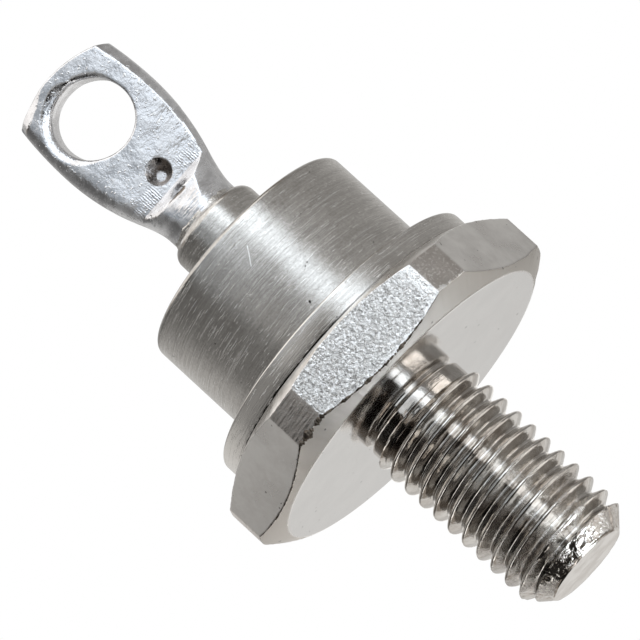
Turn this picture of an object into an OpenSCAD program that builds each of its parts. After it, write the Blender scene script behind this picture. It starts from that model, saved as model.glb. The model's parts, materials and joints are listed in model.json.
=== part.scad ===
// Stud diode with a threaded mounting stud, hexagon base, flanged can,
// glass-to-metal seal and a flattened tube terminal with an eye.
// The origin is the centre of the seating face, +Z runs up the axis to the terminal,
// and the terminal blade is wide along X and thin along Y.

/* [Mounting stud] */
// Outside diameter of the stud's screw thread
stud_d = 6.3; // [5.8:0.05:7]
// Length from the seating face to the end of the stud
stud_len = 11.15; // [9:0.05:14]
// Diameter of the plain neck under the seating face
neck_d = 5.65; // [5.2:0.05:5.75]
// Length of the plain neck
neck_len = 1; // [0.9:0.05:2]
// Length over which the thread grows from the neck to its full diameter
runout_len = 0.35; // [0.2:0.05:0.8]
// Radial depth and length of the 45 degree chamfer at the stud's end
tip_chamfer = 0.95; // [0.4:0.05:1.4]
// How far the seating face starts outside the thread, all round
seat_gap = 0.04; // [0.02:0.01:0.2]

/* [Hexagon base] */
// Width across the flats
hex_af = 17; // [16.4:0.05:17.6]
// Height of the hexagon
hex_h = 3.3; // [2.6:0.05:4.5]
// Diameter to which the corners are turned
corner_d = 18.7; // [18.2:0.05:19]
// Diameter of the flat circle left on both faces by the corner chamfers
face_d = 16.28; // [15.9:0.02:16.4]
// Angle of the corner chamfers
chamfer_angle = 30; // [15:1:35]
// Turn of the hexagon about the axis, measured from the terminal blade
hex_turn = 14; // [0:1:60]
// Height of the raised pad that carries the chip
pad_h = 0.8; // [0.3:0.05:1.5]

/* [Can] */
// Outside diameter of the can
can_d = 12.08; // [11.4:0.02:13]
// Height of the can's top face above the seating face
can_top = 10.67; // [10:0.05:13]
// Thickness of the can's side wall
can_wall = 0.8; // [0.5:0.05:1.1]
// Thickness of the can's top
can_roof = 1.6; // [1:0.05:2]
// Radius on the can's top edge
can_round = 0.3; // [0.1:0.05:0.5]
// Outside diameter of the welding flange
flange_d = 15.72; // [15:0.02:15.9]
// Thickness of the welding flange
flange_t = 1.21; // [0.8:0.01:1.8]
// Small bevel on the flange's upper edge
flange_bevel = 0.12; // [0.05:0.01:0.3]

/* [Seal] */
// Diameter of the glass seal
glass_d = 8.4; // [7:0.1:9]
// Depth of the glass below the can's top face
glass_recess = 0.15; // [0:0.05:0.4]
// Thickness of the seal tube's wall
tube_wall = 0.43; // [0.35:0.01:0.8]
// Height of the seal tube's rim above the can's top face
tube_out = 2.63; // [1.5:0.05:4]
// Length of seal tube below the glass
tube_skirt = 0.4; // [0.2:0.05:1]
// Radius on the seal tube's rim
tube_round = 0.22; // [0.1:0.02:0.3]

/* [Terminal] */
// Outside diameter of the round part of the terminal
term_d = 3.9; // [3.4:0.05:4.1]
// Bore of the terminal, which takes the lead
term_bore = 2; // [1.4:0.05:2.4]
// Length of terminal that stands out of the seal tube
term_out = 10.1; // [9.5:0.1:12]
// Length of terminal below the seal tube
term_skirt = 0.6; // [0.3:0.05:1.2]
// Greatest width of the flattened blade
blade_w = 6.16; // [5.4:0.02:7]
// Thickness of the flattened blade
blade_t = 1.6; // [1.2:0.05:2]
// Distance from the terminal's end down to the widest place
wide_drop = 3.6; // [2.6:0.1:4.4]
// Distance from the seal tube's rim up to where the sides begin to swell
swell_rise = 1; // [0.6:0.05:1.6]
// Distance from the seal tube's rim up to where the pressed slopes begin
slope_rise = 0.65; // [0.4:0.05:1]
// Distance from the seal tube's rim up to the pressed shoulder
shoulder_rise = 2; // [1.5:0.05:2.4]
// Distance from the shoulder up to where the conical edges end and the bowed sides begin
chord_rise = 1; // [0.5:0.05:2]
// Radius of the crowned end
end_r = 6.6; // [4:0.1:12]
// Diameter of the eye
eye_d = 3.9; // [3.5:0.05:4.2]
// Distance from the terminal's end down to the middle of the eye
eye_drop = 3; // [2.8:0.05:3.4]
// Width of the bevelled rim of the eye
eye_rim = 0.22; // [0.1:0.02:0.3]
// Diameter of the crimping dimple at the blade's face
dimple_d = 1.34; // [0.8:0.02:1.6]
// Diameter of the dimple's flat floor
dimple_floor_d = 0.5; // [0.2:0.02:0.7]
// Depth of the dimple
dimple_depth = 0.5; // [0.2:0.05:0.6]
// Distance from the shoulder up to the middle of the dimple
dimple_rise = 0.95; // [0.85:0.05:1.4]
// Sideways offset of the dimple
dimple_shift = 0.2; // [-0.4:0.05:0.4]
// Height of the solder fillet on the seal tube's rim
fillet_h = 0.3; // [0.1:0.02:0.36]

/* [Chip and lead] */
// Side of the square silicon chip
chip_w = 5.6; // [4:0.1:5.8]
// Thickness of the silicon chip
chip_t = 0.35; // [0.2:0.05:0.6]
// Thickness of the solder layers above and below the chip
solder_t = 0.12; // [0.06:0.02:0.3]
// Diameter of the lead's nail head and of the solder under it
head_d = 4.6; // [3:0.1:5]
// Thickness of the lead's nail head
head_t = 0.6; // [0.3:0.05:1]
// Gap between the lead's end and the end of the terminal's bore
lead_end_gap = 0.3; // [0.1:0.05:0.6]

/* [Clearances] */
// Gap between the terminal and the seal tube, all round
term_clear = 0.05; // [0.02:0.01:0.08]
// Gap between the lead and the terminal's bore, all round
lead_clear = 0.05; // [0.02:0.01:0.1]
// Gap between the raised pad and the can's wall, all round
pad_clear = 0.7; // [0.3:0.05:1]

/* [Hidden] */
$fn = 96;

// How far a cutting shape runs past the surface it cuts
over = 1;

// Levels of the chip and its joints, up the axis
flange_top = hex_h + flange_t;
pad_top = hex_h + pad_h;
chip_base = pad_top + solder_t;
chip_top = chip_base + chip_t;
head_base = chip_top + solder_t;

// Levels of the seal and the terminal, up the axis
roof_base = can_top - can_roof;
glass_top = can_top - glass_recess;
tube_base = roof_base - tube_skirt;
tube_top = can_top + tube_out;
term_base = tube_base - term_skirt;
term_top = tube_top + term_out;
slope_base = tube_top + slope_rise;
shoulder_z = tube_top + shoulder_rise;
swell_z = tube_top + swell_rise;
wide_z = term_top - wide_drop;
eye_z = term_top - eye_drop;
dimple_z = shoulder_z + dimple_rise;
lead_end = slope_base - lead_end_gap;

// Widths that follow from the sizes above
neck_fillet = (stud_d - neck_d) / 2 + seat_gap;
chamfer_h = (corner_d - face_d) / 2 * tan(chamfer_angle);
can_bore = can_d - 2 * can_wall;
pad_d = can_bore - 2 * pad_clear;
tube_bore = term_d + 2 * term_clear;
tube_d = tube_bore + 2 * tube_wall;
lead_d = term_bore - 2 * lead_clear;
blade_half = blade_t / 2;
fillet_w = term_clear + tube_wall - tube_round;

// Radius of the bowed sides, upright at the widest place and meeting the tube where the swell begins
swell_out = (blade_w - term_d) / 2;
side_r = ((wide_z - swell_z) ^ 2 + swell_out ^ 2) / (2 * swell_out);
bow_base = (swell_z + shoulder_z) / 2;

// The cone under the blade is a chord of the bow, from the tube to a little above the shoulder
chord_z = shoulder_z + chord_rise;
chord_half = blade_w / 2 - side_r + sqrt(side_r ^ 2 - (wide_z - chord_z) ^ 2);
cone_slope = (chord_half - term_d / 2) / (chord_z - swell_z);

copper_nickel = [0.72, 0.70, 0.67];
satin_nickel = [0.66, 0.65, 0.63];
tinned_silver = [0.80, 0.80, 0.81];
solder_grey = [0.62, 0.62, 0.60];
silicon_blue = [0.24, 0.26, 0.32];
bare_copper = [0.72, 0.45, 0.30];
glass_green = [0.30, 0.38, 0.33];

// What is trimmed off to round the outer corner at [r, z] of a turned section
module corner_trim(r, z, round) {
    translate([r - round, z - round])
        difference() {
            square(round + over);
            circle(r = round);
        }
}

// Section that limits the hexagon, with its corners turned and chamfered on both faces
module hexagon_limits() {
    polygon([
        [0, 0],
        [face_d / 2, 0],
        [corner_d / 2, chamfer_h],
        [corner_d / 2, hex_h - chamfer_h],
        [face_d / 2, hex_h],
        [0, hex_h],
    ]);
}

// Section of the stud, from its end up to the seating face, with a fillet under the face
module stud_section() {
    polygon([
        [0, -stud_len],
        [stud_d / 2 - tip_chamfer, -stud_len],
        [stud_d / 2, -stud_len + tip_chamfer],
        [stud_d / 2, -neck_len - runout_len],
        [neck_d / 2, -neck_len],
        [neck_d / 2, 0],
        [0, 0],
    ]);
    difference() {
        translate([0, -neck_fillet])
            square([neck_d / 2 + neck_fillet, neck_fillet]);
        translate([neck_d / 2 + neck_fillet, -neck_fillet])
            circle(r = neck_fillet);
    }
}

module stud_base() {
    color(copper_nickel) {
        intersection() {
            rotate(hex_turn)
                cylinder(d = hex_af / cos(30), h = hex_h, $fn = 6);
            rotate_extrude()
                hexagon_limits();
        }
        rotate_extrude()
            stud_section();
        translate([0, 0, hex_h])
            cylinder(d = pad_d, h = pad_h);
    }
}

// Square layer centred on the axis
module square_layer(z, thick) {
    translate([-chip_w / 2, -chip_w / 2, z])
        cube([chip_w, chip_w, thick]);
}

module lower_solder() {
    color(solder_grey)
        square_layer(pad_top, solder_t);
}

module silicon_chip() {
    color(silicon_blue)
        square_layer(chip_base, chip_t);
}

module upper_solder() {
    color(solder_grey)
        translate([0, 0, chip_top])
            cylinder(d = head_d, h = solder_t);
}

// Nail-headed lead that stands on the chip and ends in the terminal's bore
module inner_lead() {
    color(bare_copper)
        translate([0, 0, head_base]) {
            cylinder(d = head_d, h = head_t);
            cylinder(d = lead_d, h = lead_end - head_base);
        }
}

// Can with its welding flange, turned in one piece, and a hole in its top for the glass
module can_shell() {
    color(satin_nickel)
        rotate_extrude()
            difference() {
                polygon([
                    [can_bore / 2, hex_h],
                    [flange_d / 2, hex_h],
                    [flange_d / 2, flange_top - flange_bevel],
                    [flange_d / 2 - flange_bevel, flange_top],
                    [can_d / 2, flange_top],
                    [can_d / 2, can_top],
                    [glass_d / 2, can_top],
                    [glass_d / 2, roof_base],
                    [can_bore / 2, roof_base],
                ]);
                corner_trim(can_d / 2, can_top, can_round);
            }
}

module glass_seal() {
    color(glass_green)
        rotate_extrude()
            translate([tube_d / 2, roof_base])
                square([(glass_d - tube_d) / 2, glass_top - roof_base]);
}

module seal_tube() {
    color(satin_nickel)
        rotate_extrude()
            difference() {
                translate([tube_bore / 2, tube_base])
                    square([tube_wall, tube_top - tube_base]);
                corner_trim(tube_d / 2, tube_top, tube_round);
            }
}

// Half section of the drawn terminal: a round tube that opens into a cone
module drawn_section() {
    polygon([
        [0, term_base],
        [term_d / 2, term_base],
        [term_d / 2, swell_z],
        [term_d / 2 + cone_slope * (term_top - swell_z), term_top],
        [0, term_top],
    ]);
}

// Front outline: clear of the tube below, then a blade with bowed sides and a crowned end
module bowed_outline() {
    translate([-blade_w, term_base])
        square([2 * blade_w, bow_base - term_base]);
    intersection() {
        translate([blade_w / 2 - side_r, wide_z])
            circle(r = side_r);
        translate([side_r - blade_w / 2, wide_z])
            circle(r = side_r);
        translate([0, term_top - end_r])
            circle(r = end_r);
        translate([-blade_w, bow_base])
            square([2 * blade_w, term_top - bow_base]);
    }
}

// Side outline: round tube, pressed slopes, then the flat blade
module pressed_outline() {
    polygon([
        [-term_d, term_base],
        [term_d, term_base],
        [term_d, slope_base],
        [term_d / 2, slope_base],
        [blade_half, shoulder_z],
        [blade_half, term_top],
        [-blade_half, term_top],
        [-blade_half, shoulder_z],
        [-term_d / 2, slope_base],
        [-term_d, slope_base],
    ]);
}

// Eye through the blade, with a bevelled rim on both faces
module eye_cut() {
    translate([0, 0, eye_z])
        rotate([90, 0, 0])
            rotate_extrude()
                polygon([
                    [0, -blade_half - over],
                    [eye_d / 2 + eye_rim + over, -blade_half - over],
                    [eye_d / 2, eye_rim - blade_half],
                    [eye_d / 2, blade_half - eye_rim],
                    [eye_d / 2 + eye_rim + over, blade_half + over],
                    [0, blade_half + over],
                ]);
}

// Conical crimping dimple in the front face
module dimple_cut() {
    translate([dimple_shift, dimple_depth - blade_half, dimple_z])
        rotate([90, 0, 0])
            cylinder(d1 = dimple_floor_d, d2 = dimple_d, h = dimple_depth);
}

// Tube pressed flat above its shoulder, pierced by the eye and crimped on the lead
module terminal_lug() {
    color(tinned_silver)
        difference() {
            intersection() {
                rotate_extrude()
                    drawn_section();
                rotate([90, 0, 0])
                    linear_extrude(2 * term_d, center = true)
                        bowed_outline();
                rotate([90, 0, 90])
                    linear_extrude(2 * blade_w, center = true)
                        pressed_outline();
            }
            translate([0, 0, term_base - over])
                cylinder(d = term_bore, h = slope_base - term_base + over);
            eye_cut();
            dimple_cut();
        }
}

module terminal_solder() {
    color(solder_grey)
        rotate_extrude()
            polygon([
                [term_d / 2, tube_top],
                [term_d / 2 + fillet_w, tube_top],
                [term_d / 2, tube_top + fillet_h],
            ]);
}

stud_base();
lower_solder();
silicon_chip();
upper_solder();
inner_lead();
can_shell();
glass_seal();
seal_tube();
terminal_lug();
terminal_solder();
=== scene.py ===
import json
import math

import bmesh
import bpy
from mathutils import Matrix, Vector, noise


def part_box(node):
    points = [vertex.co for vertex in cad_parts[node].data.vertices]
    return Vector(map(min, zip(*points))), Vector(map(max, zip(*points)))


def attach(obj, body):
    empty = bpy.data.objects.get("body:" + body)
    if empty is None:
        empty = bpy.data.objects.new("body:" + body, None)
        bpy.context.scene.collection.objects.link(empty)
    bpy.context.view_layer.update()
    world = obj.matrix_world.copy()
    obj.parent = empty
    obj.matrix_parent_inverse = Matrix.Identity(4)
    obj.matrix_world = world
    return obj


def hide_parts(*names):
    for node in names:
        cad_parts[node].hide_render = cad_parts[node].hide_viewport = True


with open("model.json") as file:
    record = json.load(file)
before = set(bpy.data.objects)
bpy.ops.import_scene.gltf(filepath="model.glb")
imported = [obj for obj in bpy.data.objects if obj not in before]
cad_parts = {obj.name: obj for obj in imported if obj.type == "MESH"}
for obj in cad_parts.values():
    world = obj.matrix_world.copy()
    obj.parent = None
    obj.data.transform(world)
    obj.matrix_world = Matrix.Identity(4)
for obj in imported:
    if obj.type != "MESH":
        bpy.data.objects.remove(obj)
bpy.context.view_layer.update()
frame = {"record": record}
mm = 0.001  # settings are in millimetres, the frame is in metres
mounts = {mount["name"]: mount for mount in frame["record"]["mounts"]}


def nodeBox(name):
    low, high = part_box(name)
    return low / mm, high / mm


def smoothStep(low, high, value):
    t = min(1.0, max(0.0, (value - low) / (high - low)))
    return t * t * (3 - 2 * t)


def mixed(a, b, t):
    return a + (b - a) * t


def softMin(a, b, k):
    h = max(k - abs(a - b), 0) / k
    return min(a, b) - h * h * k / 4


def rough(x, y, z, scale):
    return noise.noise(Vector((x, y, z)) * scale)


def makePiece(mesh, name, finish, node, sharpAngle=35):
    bmesh.ops.remove_doubles(mesh, verts=mesh.verts, dist=1e-4)
    bmesh.ops.recalc_face_normals(mesh, faces=mesh.faces)
    bmesh.ops.scale(mesh, vec=(mm, mm, mm), verts=mesh.verts)
    data = bpy.data.meshes.new(name)
    mesh.to_mesh(data)
    mesh.free()
    data.shade_smooth()
    data.set_sharp_from_angle(angle=math.radians(sharpAngle))
    data.materials.append(finish)
    piece = bpy.data.objects.new(name, data)
    bpy.context.scene.collection.objects.link(piece)
    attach(piece, "root")
    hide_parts(node)
    print(name, len(data.polygons), "faces")


def spunMesh(points, steps, angle=360):
    # turns a closed section of (radius, height) points round the Z axis
    mesh = bmesh.new()
    verts = [mesh.verts.new((r, 0, z)) for r, z in points]
    edges = [mesh.edges.new(pair) for pair in zip(verts, verts[1:] + verts[:1]) if pair[0].co.x + pair[1].co.x > 0]
    bmesh.ops.spin(mesh, geom=verts + edges, cent=(0, 0, 0), axis=(0, 0, 1), angle=math.radians(angle),
                   steps=steps, use_merge=angle == 360)
    bmesh.ops.remove_doubles(mesh, verts=mesh.verts, dist=1e-4)
    bmesh.ops.recalc_face_normals(mesh, faces=mesh.faces)
    return mesh


def roundRing(mesh, radius, height, size, segments=4):
    # bevels the ring edge that runs at this radius and height
    ring = [edge for edge in mesh.edges if all(
        abs(math.hypot(v.co.x, v.co.y) - radius) < 1e-3 and abs(v.co.z - height) < 1e-3 for v in edge.verts)]
    bmesh.ops.bevel(mesh, geom=ring, offset=size, offset_type="OFFSET", segments=segments, profile=0.5,
                    affect="EDGES", material=-1)


def feed(tree, socket, value):
    if isinstance(value, bpy.types.NodeSocket):
        tree.links.new(value, socket)
    else:
        socket.default_value = value


def calc(tree, operation, *values):
    made = tree.nodes.new("ShaderNodeMath")
    made.operation = operation
    for socket, value in zip(made.inputs, values):
        feed(tree, socket, value)
    return made.outputs[0]


def vectorCalc(tree, operation, first, second=None, scale=None):
    made = tree.nodes.new("ShaderNodeVectorMath")
    made.operation = operation
    feed(tree, made.inputs[0], first)
    if second is not None:
        feed(tree, made.inputs[1], second)
    if scale is not None:
        feed(tree, made.inputs["Scale"], scale)
    return made.outputs[0]


def position(tree):
    spot = tree.nodes.new("ShaderNodeTexCoord").outputs["Object"]
    return vectorCalc(tree, "SCALE", spot, scale=1 / mm)


def lathePosition(tree, spot, around, along):
    # stretched along the turning marks: slow round the axis, fast along it and outwards
    flat = vectorCalc(tree, "MULTIPLY", spot, (1, 1, 0))
    length = tree.nodes.new("ShaderNodeVectorMath")
    length.operation = "LENGTH"
    feed(tree, length.inputs[0], flat)
    height = tree.nodes.new("ShaderNodeSeparateXYZ")
    feed(tree, height.inputs[0], spot)
    depth = calc(tree, "MULTIPLY", calc(tree, "ADD", height.outputs["Z"], length.outputs["Value"]), along)
    joined = tree.nodes.new("ShaderNodeCombineXYZ")
    feed(tree, joined.inputs["Z"], depth)
    ring = vectorCalc(tree, "SCALE", vectorCalc(tree, "NORMALIZE", flat), scale=around)
    return vectorCalc(tree, "ADD", ring, joined.outputs[0])


def noiseAt(tree, spot, scale, detail=2.0, roughness=0.5, distortion=0.0):
    made = tree.nodes.new("ShaderNodeTexNoise")
    feed(tree, made.inputs["Vector"], spot)
    made.inputs["Scale"].default_value = scale
    made.inputs["Detail"].default_value = detail
    made.inputs["Roughness"].default_value = roughness
    made.inputs["Distortion"].default_value = distortion
    return made.outputs["Fac"]


def band(tree, value, low, high, start=0.0, end=1.0):
    made = tree.nodes.new("ShaderNodeMapRange")
    made.interpolation_type = "SMOOTHSTEP"
    feed(tree, made.inputs["Value"], value)
    for key, number in (("From Min", low), ("From Max", high), ("To Min", start), ("To Max", end)):
        made.inputs[key].default_value = number
    return made.outputs["Result"]


def tint(tree, factor, first, second):
    made = tree.nodes.new("ShaderNodeMix")
    made.data_type = "RGBA"
    feed(tree, made.inputs["Factor"], factor)
    for key, value in (("A", first), ("B", second)):
        socket = next(s for s in made.inputs if s.name == key and s.type == "RGBA")
        feed(tree, socket, value if isinstance(value, bpy.types.NodeSocket) else (*value, 1))
    return next(s for s in made.outputs if s.type == "RGBA")


def bumped(tree, height, depth, normal=None):
    made = tree.nodes.new("ShaderNodeBump")
    made.inputs["Strength"].default_value = 1
    made.inputs["Distance"].default_value = depth * mm
    feed(tree, made.inputs["Height"], height)
    if normal is not None:
        feed(tree, made.inputs["Normal"], normal)
    return made.outputs["Normal"]


def scratchLines(tree, spot, scale, width, gaps):
    # thin bent lines where a slow noise crosses its middle, broken up by a second noise
    wander = noiseAt(tree, spot, scale, 1.0, 0.4, 0.6)
    line = band(tree, calc(tree, "ABSOLUTE", calc(tree, "SUBTRACT", wander, 0.5)), width, 0.0)
    return calc(tree, "MULTIPLY", line, band(tree, noiseAt(tree, spot, scale * 2.3, 0.0), gaps, gaps + 0.06))


def lineReach(tree, spot, first, last):
    # distance from a straight mark between two places
    way = Vector(last) - Vector(first)
    off = vectorCalc(tree, "SUBTRACT", spot, first)
    along = tree.nodes.new("ShaderNodeVectorMath")
    along.operation = "DOT_PRODUCT"
    feed(tree, along.inputs[0], off)
    feed(tree, along.inputs[1], tuple(way / way.length_squared))
    share = calc(tree, "MINIMUM", calc(tree, "MAXIMUM", along.outputs["Value"], 0.0), 1.0)
    miss = tree.nodes.new("ShaderNodeVectorMath")
    miss.operation = "DISTANCE"
    feed(tree, miss.inputs[0], off)
    feed(tree, miss.inputs[1], vectorCalc(tree, "SCALE", tuple(way), scale=share))
    return miss.outputs["Value"]


def attributeAt(tree, name):
    made = tree.nodes.new("ShaderNodeAttribute")
    made.attribute_name = name
    return made.outputs["Fac"]


def startFinish(name, metallic=1.0):
    finish = bpy.data.materials.new(name)
    finish.use_nodes = True
    tree = finish.node_tree
    shader = tree.nodes["Principled BSDF"]
    shader.inputs["Metallic"].default_value = metallic
    return finish, tree, shader


turnedSettings = dict(
    dark=(0.47, 0.45, 0.425),
    light=(0.72, 0.70, 0.67),
    rough=(0.17, 0.26),
    seam=3.36,         # painted shade in the joint under the flange
    flangeZ=4.55,      # below this the flange gets a painted sheen, strongest towards -X
    bentScratch=((1.25, -5.91, 9.31), (0.99, -5.96, 8.92), (0.70, -6.00, 8.54)),
)


def turnedFinish(s):
    finish, tree, shader = startFinish("turnedNickel")
    spot = position(tree)
    fine = noiseAt(tree, lathePosition(tree, spot, 2.5, 18.0), 1.0, 3.0, 0.65)
    broad = noiseAt(tree, lathePosition(tree, spot, 2.0, 5.0), 1.0, 3.0, 0.55)
    # lathe dashes and lines: real scratches, coloured as painted glints below
    dashScratchGlint = noiseAt(tree, lathePosition(tree, spot, 8.0, 22.0), 1.0, 1.0)
    patch = noiseAt(tree, spot, 0.35, 2.0)
    dashScratchGlint = band(tree, calc(tree, "ADD", dashScratchGlint, calc(tree, "MULTIPLY", patch, 0.16)), 0.76, 0.8)
    line = noiseAt(tree, lathePosition(tree, spot, 3.0, 26.0), 1.0, 1.0)
    line = band(tree, calc(tree, "ADD", line, calc(tree, "MULTIPLY", patch, 0.2)), 0.77, 0.8)
    dashScratchGlint = calc(tree, "MAXIMUM", dashScratchGlint, line)
    cloud = noiseAt(tree, spot, 0.55, 4.0, 0.6)
    speck = band(tree, noiseAt(tree, spot, 5.0, 0.0), 0.85, 0.88)
    grain = noiseAt(tree, spot, 9.0, 2.0, 0.6)
    reach = [lineReach(tree, spot, *ends) for ends in zip(s["bentScratch"], s["bentScratch"][1:])]
    hairScratchGlint = band(tree, calc(tree, "MINIMUM", *reach), 0.035, 0.01)
    place = tree.nodes.new("ShaderNodeSeparateXYZ")
    feed(tree, place.inputs[0], spot)
    # painted shade in the joint under the flange, strongest towards -X
    foot = calc(tree, "ADD", place.outputs["Z"], calc(tree, "MULTIPLY", noiseAt(tree, spot, 3.0, 2.0), -0.14))
    seam = band(tree, foot, s["seam"] + 0.02, s["seam"])
    seam = calc(tree, "MULTIPLY", seam, band(tree, place.outputs["X"], 4.5, 0.5, 0.35, 1.0))
    shade = calc(tree, "ADD", calc(tree, "MULTIPLY", fine, 0.3), calc(tree, "MULTIPLY", broad, 0.25))
    shade = calc(tree, "ADD", shade, calc(tree, "MULTIPLY", cloud, 0.25))
    shade = calc(tree, "ADD", shade, calc(tree, "MULTIPLY", grain, 0.3))
    colour = tint(tree, band(tree, shade, 0.38, 0.72), s["dark"], s["light"])
    # painted sheen: the flange is lightened, strongly at -X and hardly at +X
    flangeSheen = band(tree, place.outputs["Z"], s["flangeZ"], s["flangeZ"] - 0.05)
    flangeSheen = calc(tree, "MULTIPLY", flangeSheen, band(tree, place.outputs["X"], -2.0, 4.0, 0.95, 0.1))
    colour = tint(tree, flangeSheen, colour, (0.93, 0.90, 0.86))
    # painted glints: the dashes and the bent scratch are coloured near white
    colour = tint(tree, calc(tree, "MAXIMUM", calc(tree, "MULTIPLY", dashScratchGlint, 0.75), hairScratchGlint), colour, (0.95, 0.94, 0.92))
    # dark specks, and the painted shade of the seam
    colour = tint(tree, calc(tree, "MAXIMUM", speck, seam), colour, (0.03, 0.025, 0.02))
    feed(tree, shader.inputs["Base Color"], colour)
    feed(tree, shader.inputs["Roughness"], band(tree, cloud, 0.3, 0.7, *s["rough"]))
    normal = bumped(tree, fine, 0.008)
    normal = bumped(tree, dashScratchGlint, 0.006, normal)
    normal = bumped(tree, grain, 0.003, normal)
    feed(tree, shader.inputs["Normal"], normal)
    return finish


groundSettings = dict(
    dark=(0.76, 0.735, 0.71),
    light=(0.95, 0.93, 0.90),
    sandDark=(0.47, 0.455, 0.44),
    sandLight=(0.82, 0.805, 0.785),
    landDark=(0.74, 0.68, 0.635),
    landLight=(0.98, 0.92, 0.875),
    landBrown=(0.40, 0.365, 0.335),    # painted shade on the corners towards +X
)


def groundFinish(s):
    finish, tree, shader = startFinish("groundNickel")
    spot = position(tree)
    front = attributeAt(tree, "front")
    land = attributeAt(tree, "land")
    seat = attributeAt(tree, "seat")
    bevel = attributeAt(tree, "bevel")
    low = attributeAt(tree, "low")
    rim = attributeAt(tree, "rim")
    cloud = noiseAt(tree, spot, 0.5, 4.0, 0.6)
    grain = noiseAt(tree, spot, 6.4, 3.0, 0.7)
    # painted glints: strokes, nicks and dots are coloured near white; strokes and nicks are real scratches as well
    strokeGlints = scratchLines(tree, spot, 2.2, 0.028, 0.5)
    nickGlints = scratchLines(tree, spot, 0.9, 0.008, 0.5)
    glintDots = band(tree, noiseAt(tree, spot, 7.5, 1.0), 0.575, 0.615)
    pits = band(tree, noiseAt(tree, spot, 6.5, 2.0), 0.43, 0.35)
    patch = noiseAt(tree, spot, 1.5, 4.0, 0.65)
    scratch = noiseAt(tree, lathePosition(tree, spot, 5.0, 7.0), 1.0, 3.0, 0.6)
    speck = band(tree, noiseAt(tree, spot, 4.2, 0.0), 0.83, 0.86)
    ragged = calc(tree, "SUBTRACT", noiseAt(tree, spot, 2.6, 2.0, 0.6), 0.5)
    chips = band(tree, calc(tree, "ADD", low, calc(tree, "MULTIPLY", ragged, 0.5)), 0.96, 1.0)
    front = band(tree, calc(tree, "ADD", front, calc(tree, "MULTIPLY", ragged, 0.5)), 0.4, 0.6)
    sand = tint(tree, band(tree, grain, 0.36, 0.64), s["sandDark"], s["sandLight"])
    sand = tint(tree, calc(tree, "MULTIPLY", pits, 0.8), sand, (0.26, 0.25, 0.24))
    sand = tint(tree, glintDots, sand, (0.97, 0.96, 0.95))
    # painted highlight along the right edge of the front flat
    sand = tint(tree, calc(tree, "MULTIPLY", rim, 0.9), sand, (0.98, 0.97, 0.95))
    sand = tint(tree, calc(tree, "MAXIMUM", strokeGlints, nickGlints), sand, (0.97, 0.97, 0.97))
    landTone = tint(tree, band(tree, patch, 0.35, 0.65), s["landDark"], s["landLight"])
    place = tree.nodes.new("ShaderNodeSeparateXYZ")
    feed(tree, place.inputs[0], spot)
    # painted shade: the lands darken towards +X
    landTone = tint(tree, band(tree, place.outputs["X"], 0.0, 4.0, 0.0, 0.75), landTone, s["landBrown"])
    landTone = tint(tree, calc(tree, "MULTIPLY", glintDots, 0.5), landTone, (0.95, 0.93, 0.9))
    colour = tint(tree, band(tree, cloud, 0.35, 0.65), s["dark"], s["light"])
    colour = tint(tree, calc(tree, "MULTIPLY", nickGlints, 0.4), colour, (0.98, 0.97, 0.95))
    colour = tint(tree, calc(tree, "MULTIPLY", land, 0.8), colour, landTone)
    # only the flat facing the camera gets the sand grain with its painted glints
    colour = tint(tree, front, colour, sand)
    # chips along the lower edge, coloured near white as painted glints
    colour = tint(tree, calc(tree, "MULTIPLY", chips, calc(tree, "MAXIMUM", front, land)), colour, (0.98, 0.97, 0.96))
    colour = tint(tree, calc(tree, "MULTIPLY", seat, 0.85), colour, (0.82, 0.815, 0.81))
    # painted light and shade on the chamfer: lighter at -X, darker at +X
    slope = tint(tree, band(tree, place.outputs["X"], -1.0, 3.5), (0.9, 0.86, 0.81), (0.5, 0.475, 0.44))
    colour = tint(tree, calc(tree, "MULTIPLY", bevel, 0.9), colour, slope)
    colour = tint(tree, calc(tree, "MULTIPLY", speck, 0.7), colour, (0.12, 0.11, 0.1))
    feed(tree, shader.inputs["Base Color"], colour)
    base = band(tree, cloud, 0.3, 0.7, 0.26, 0.34)
    base = calc(tree, "ADD", base, calc(tree, "MULTIPLY", bevel, 0.25))
    feed(tree, shader.inputs["Roughness"], calc(tree, "SUBTRACT", base, calc(tree, "MULTIPLY", seat, 0.2)))
    bite = calc(tree, "ADD", calc(tree, "MULTIPLY", front, 0.9), 0.04)
    bite = calc(tree, "ADD", bite, calc(tree, "MULTIPLY", land, 0.4))
    bite = calc(tree, "SUBTRACT", bite, calc(tree, "MULTIPLY", seat, 0.04))
    normal = bumped(tree, calc(tree, "MULTIPLY", grain, bite), 0.042)
    mark = calc(tree, "MULTIPLY", calc(tree, "MAXIMUM", strokeGlints, nickGlints), front)
    normal = bumped(tree, mark, 0.02, normal)
    normal = bumped(tree, calc(tree, "MULTIPLY", calc(tree, "ADD", scratch, patch), land), 0.03, normal)
    feed(tree, shader.inputs["Normal"], normal)
    return finish


threadSettings = dict(
    dark=(0.54, 0.50, 0.46),
    light=(0.72, 0.695, 0.66),
    rough=(0.07, 0.14),
)


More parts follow.
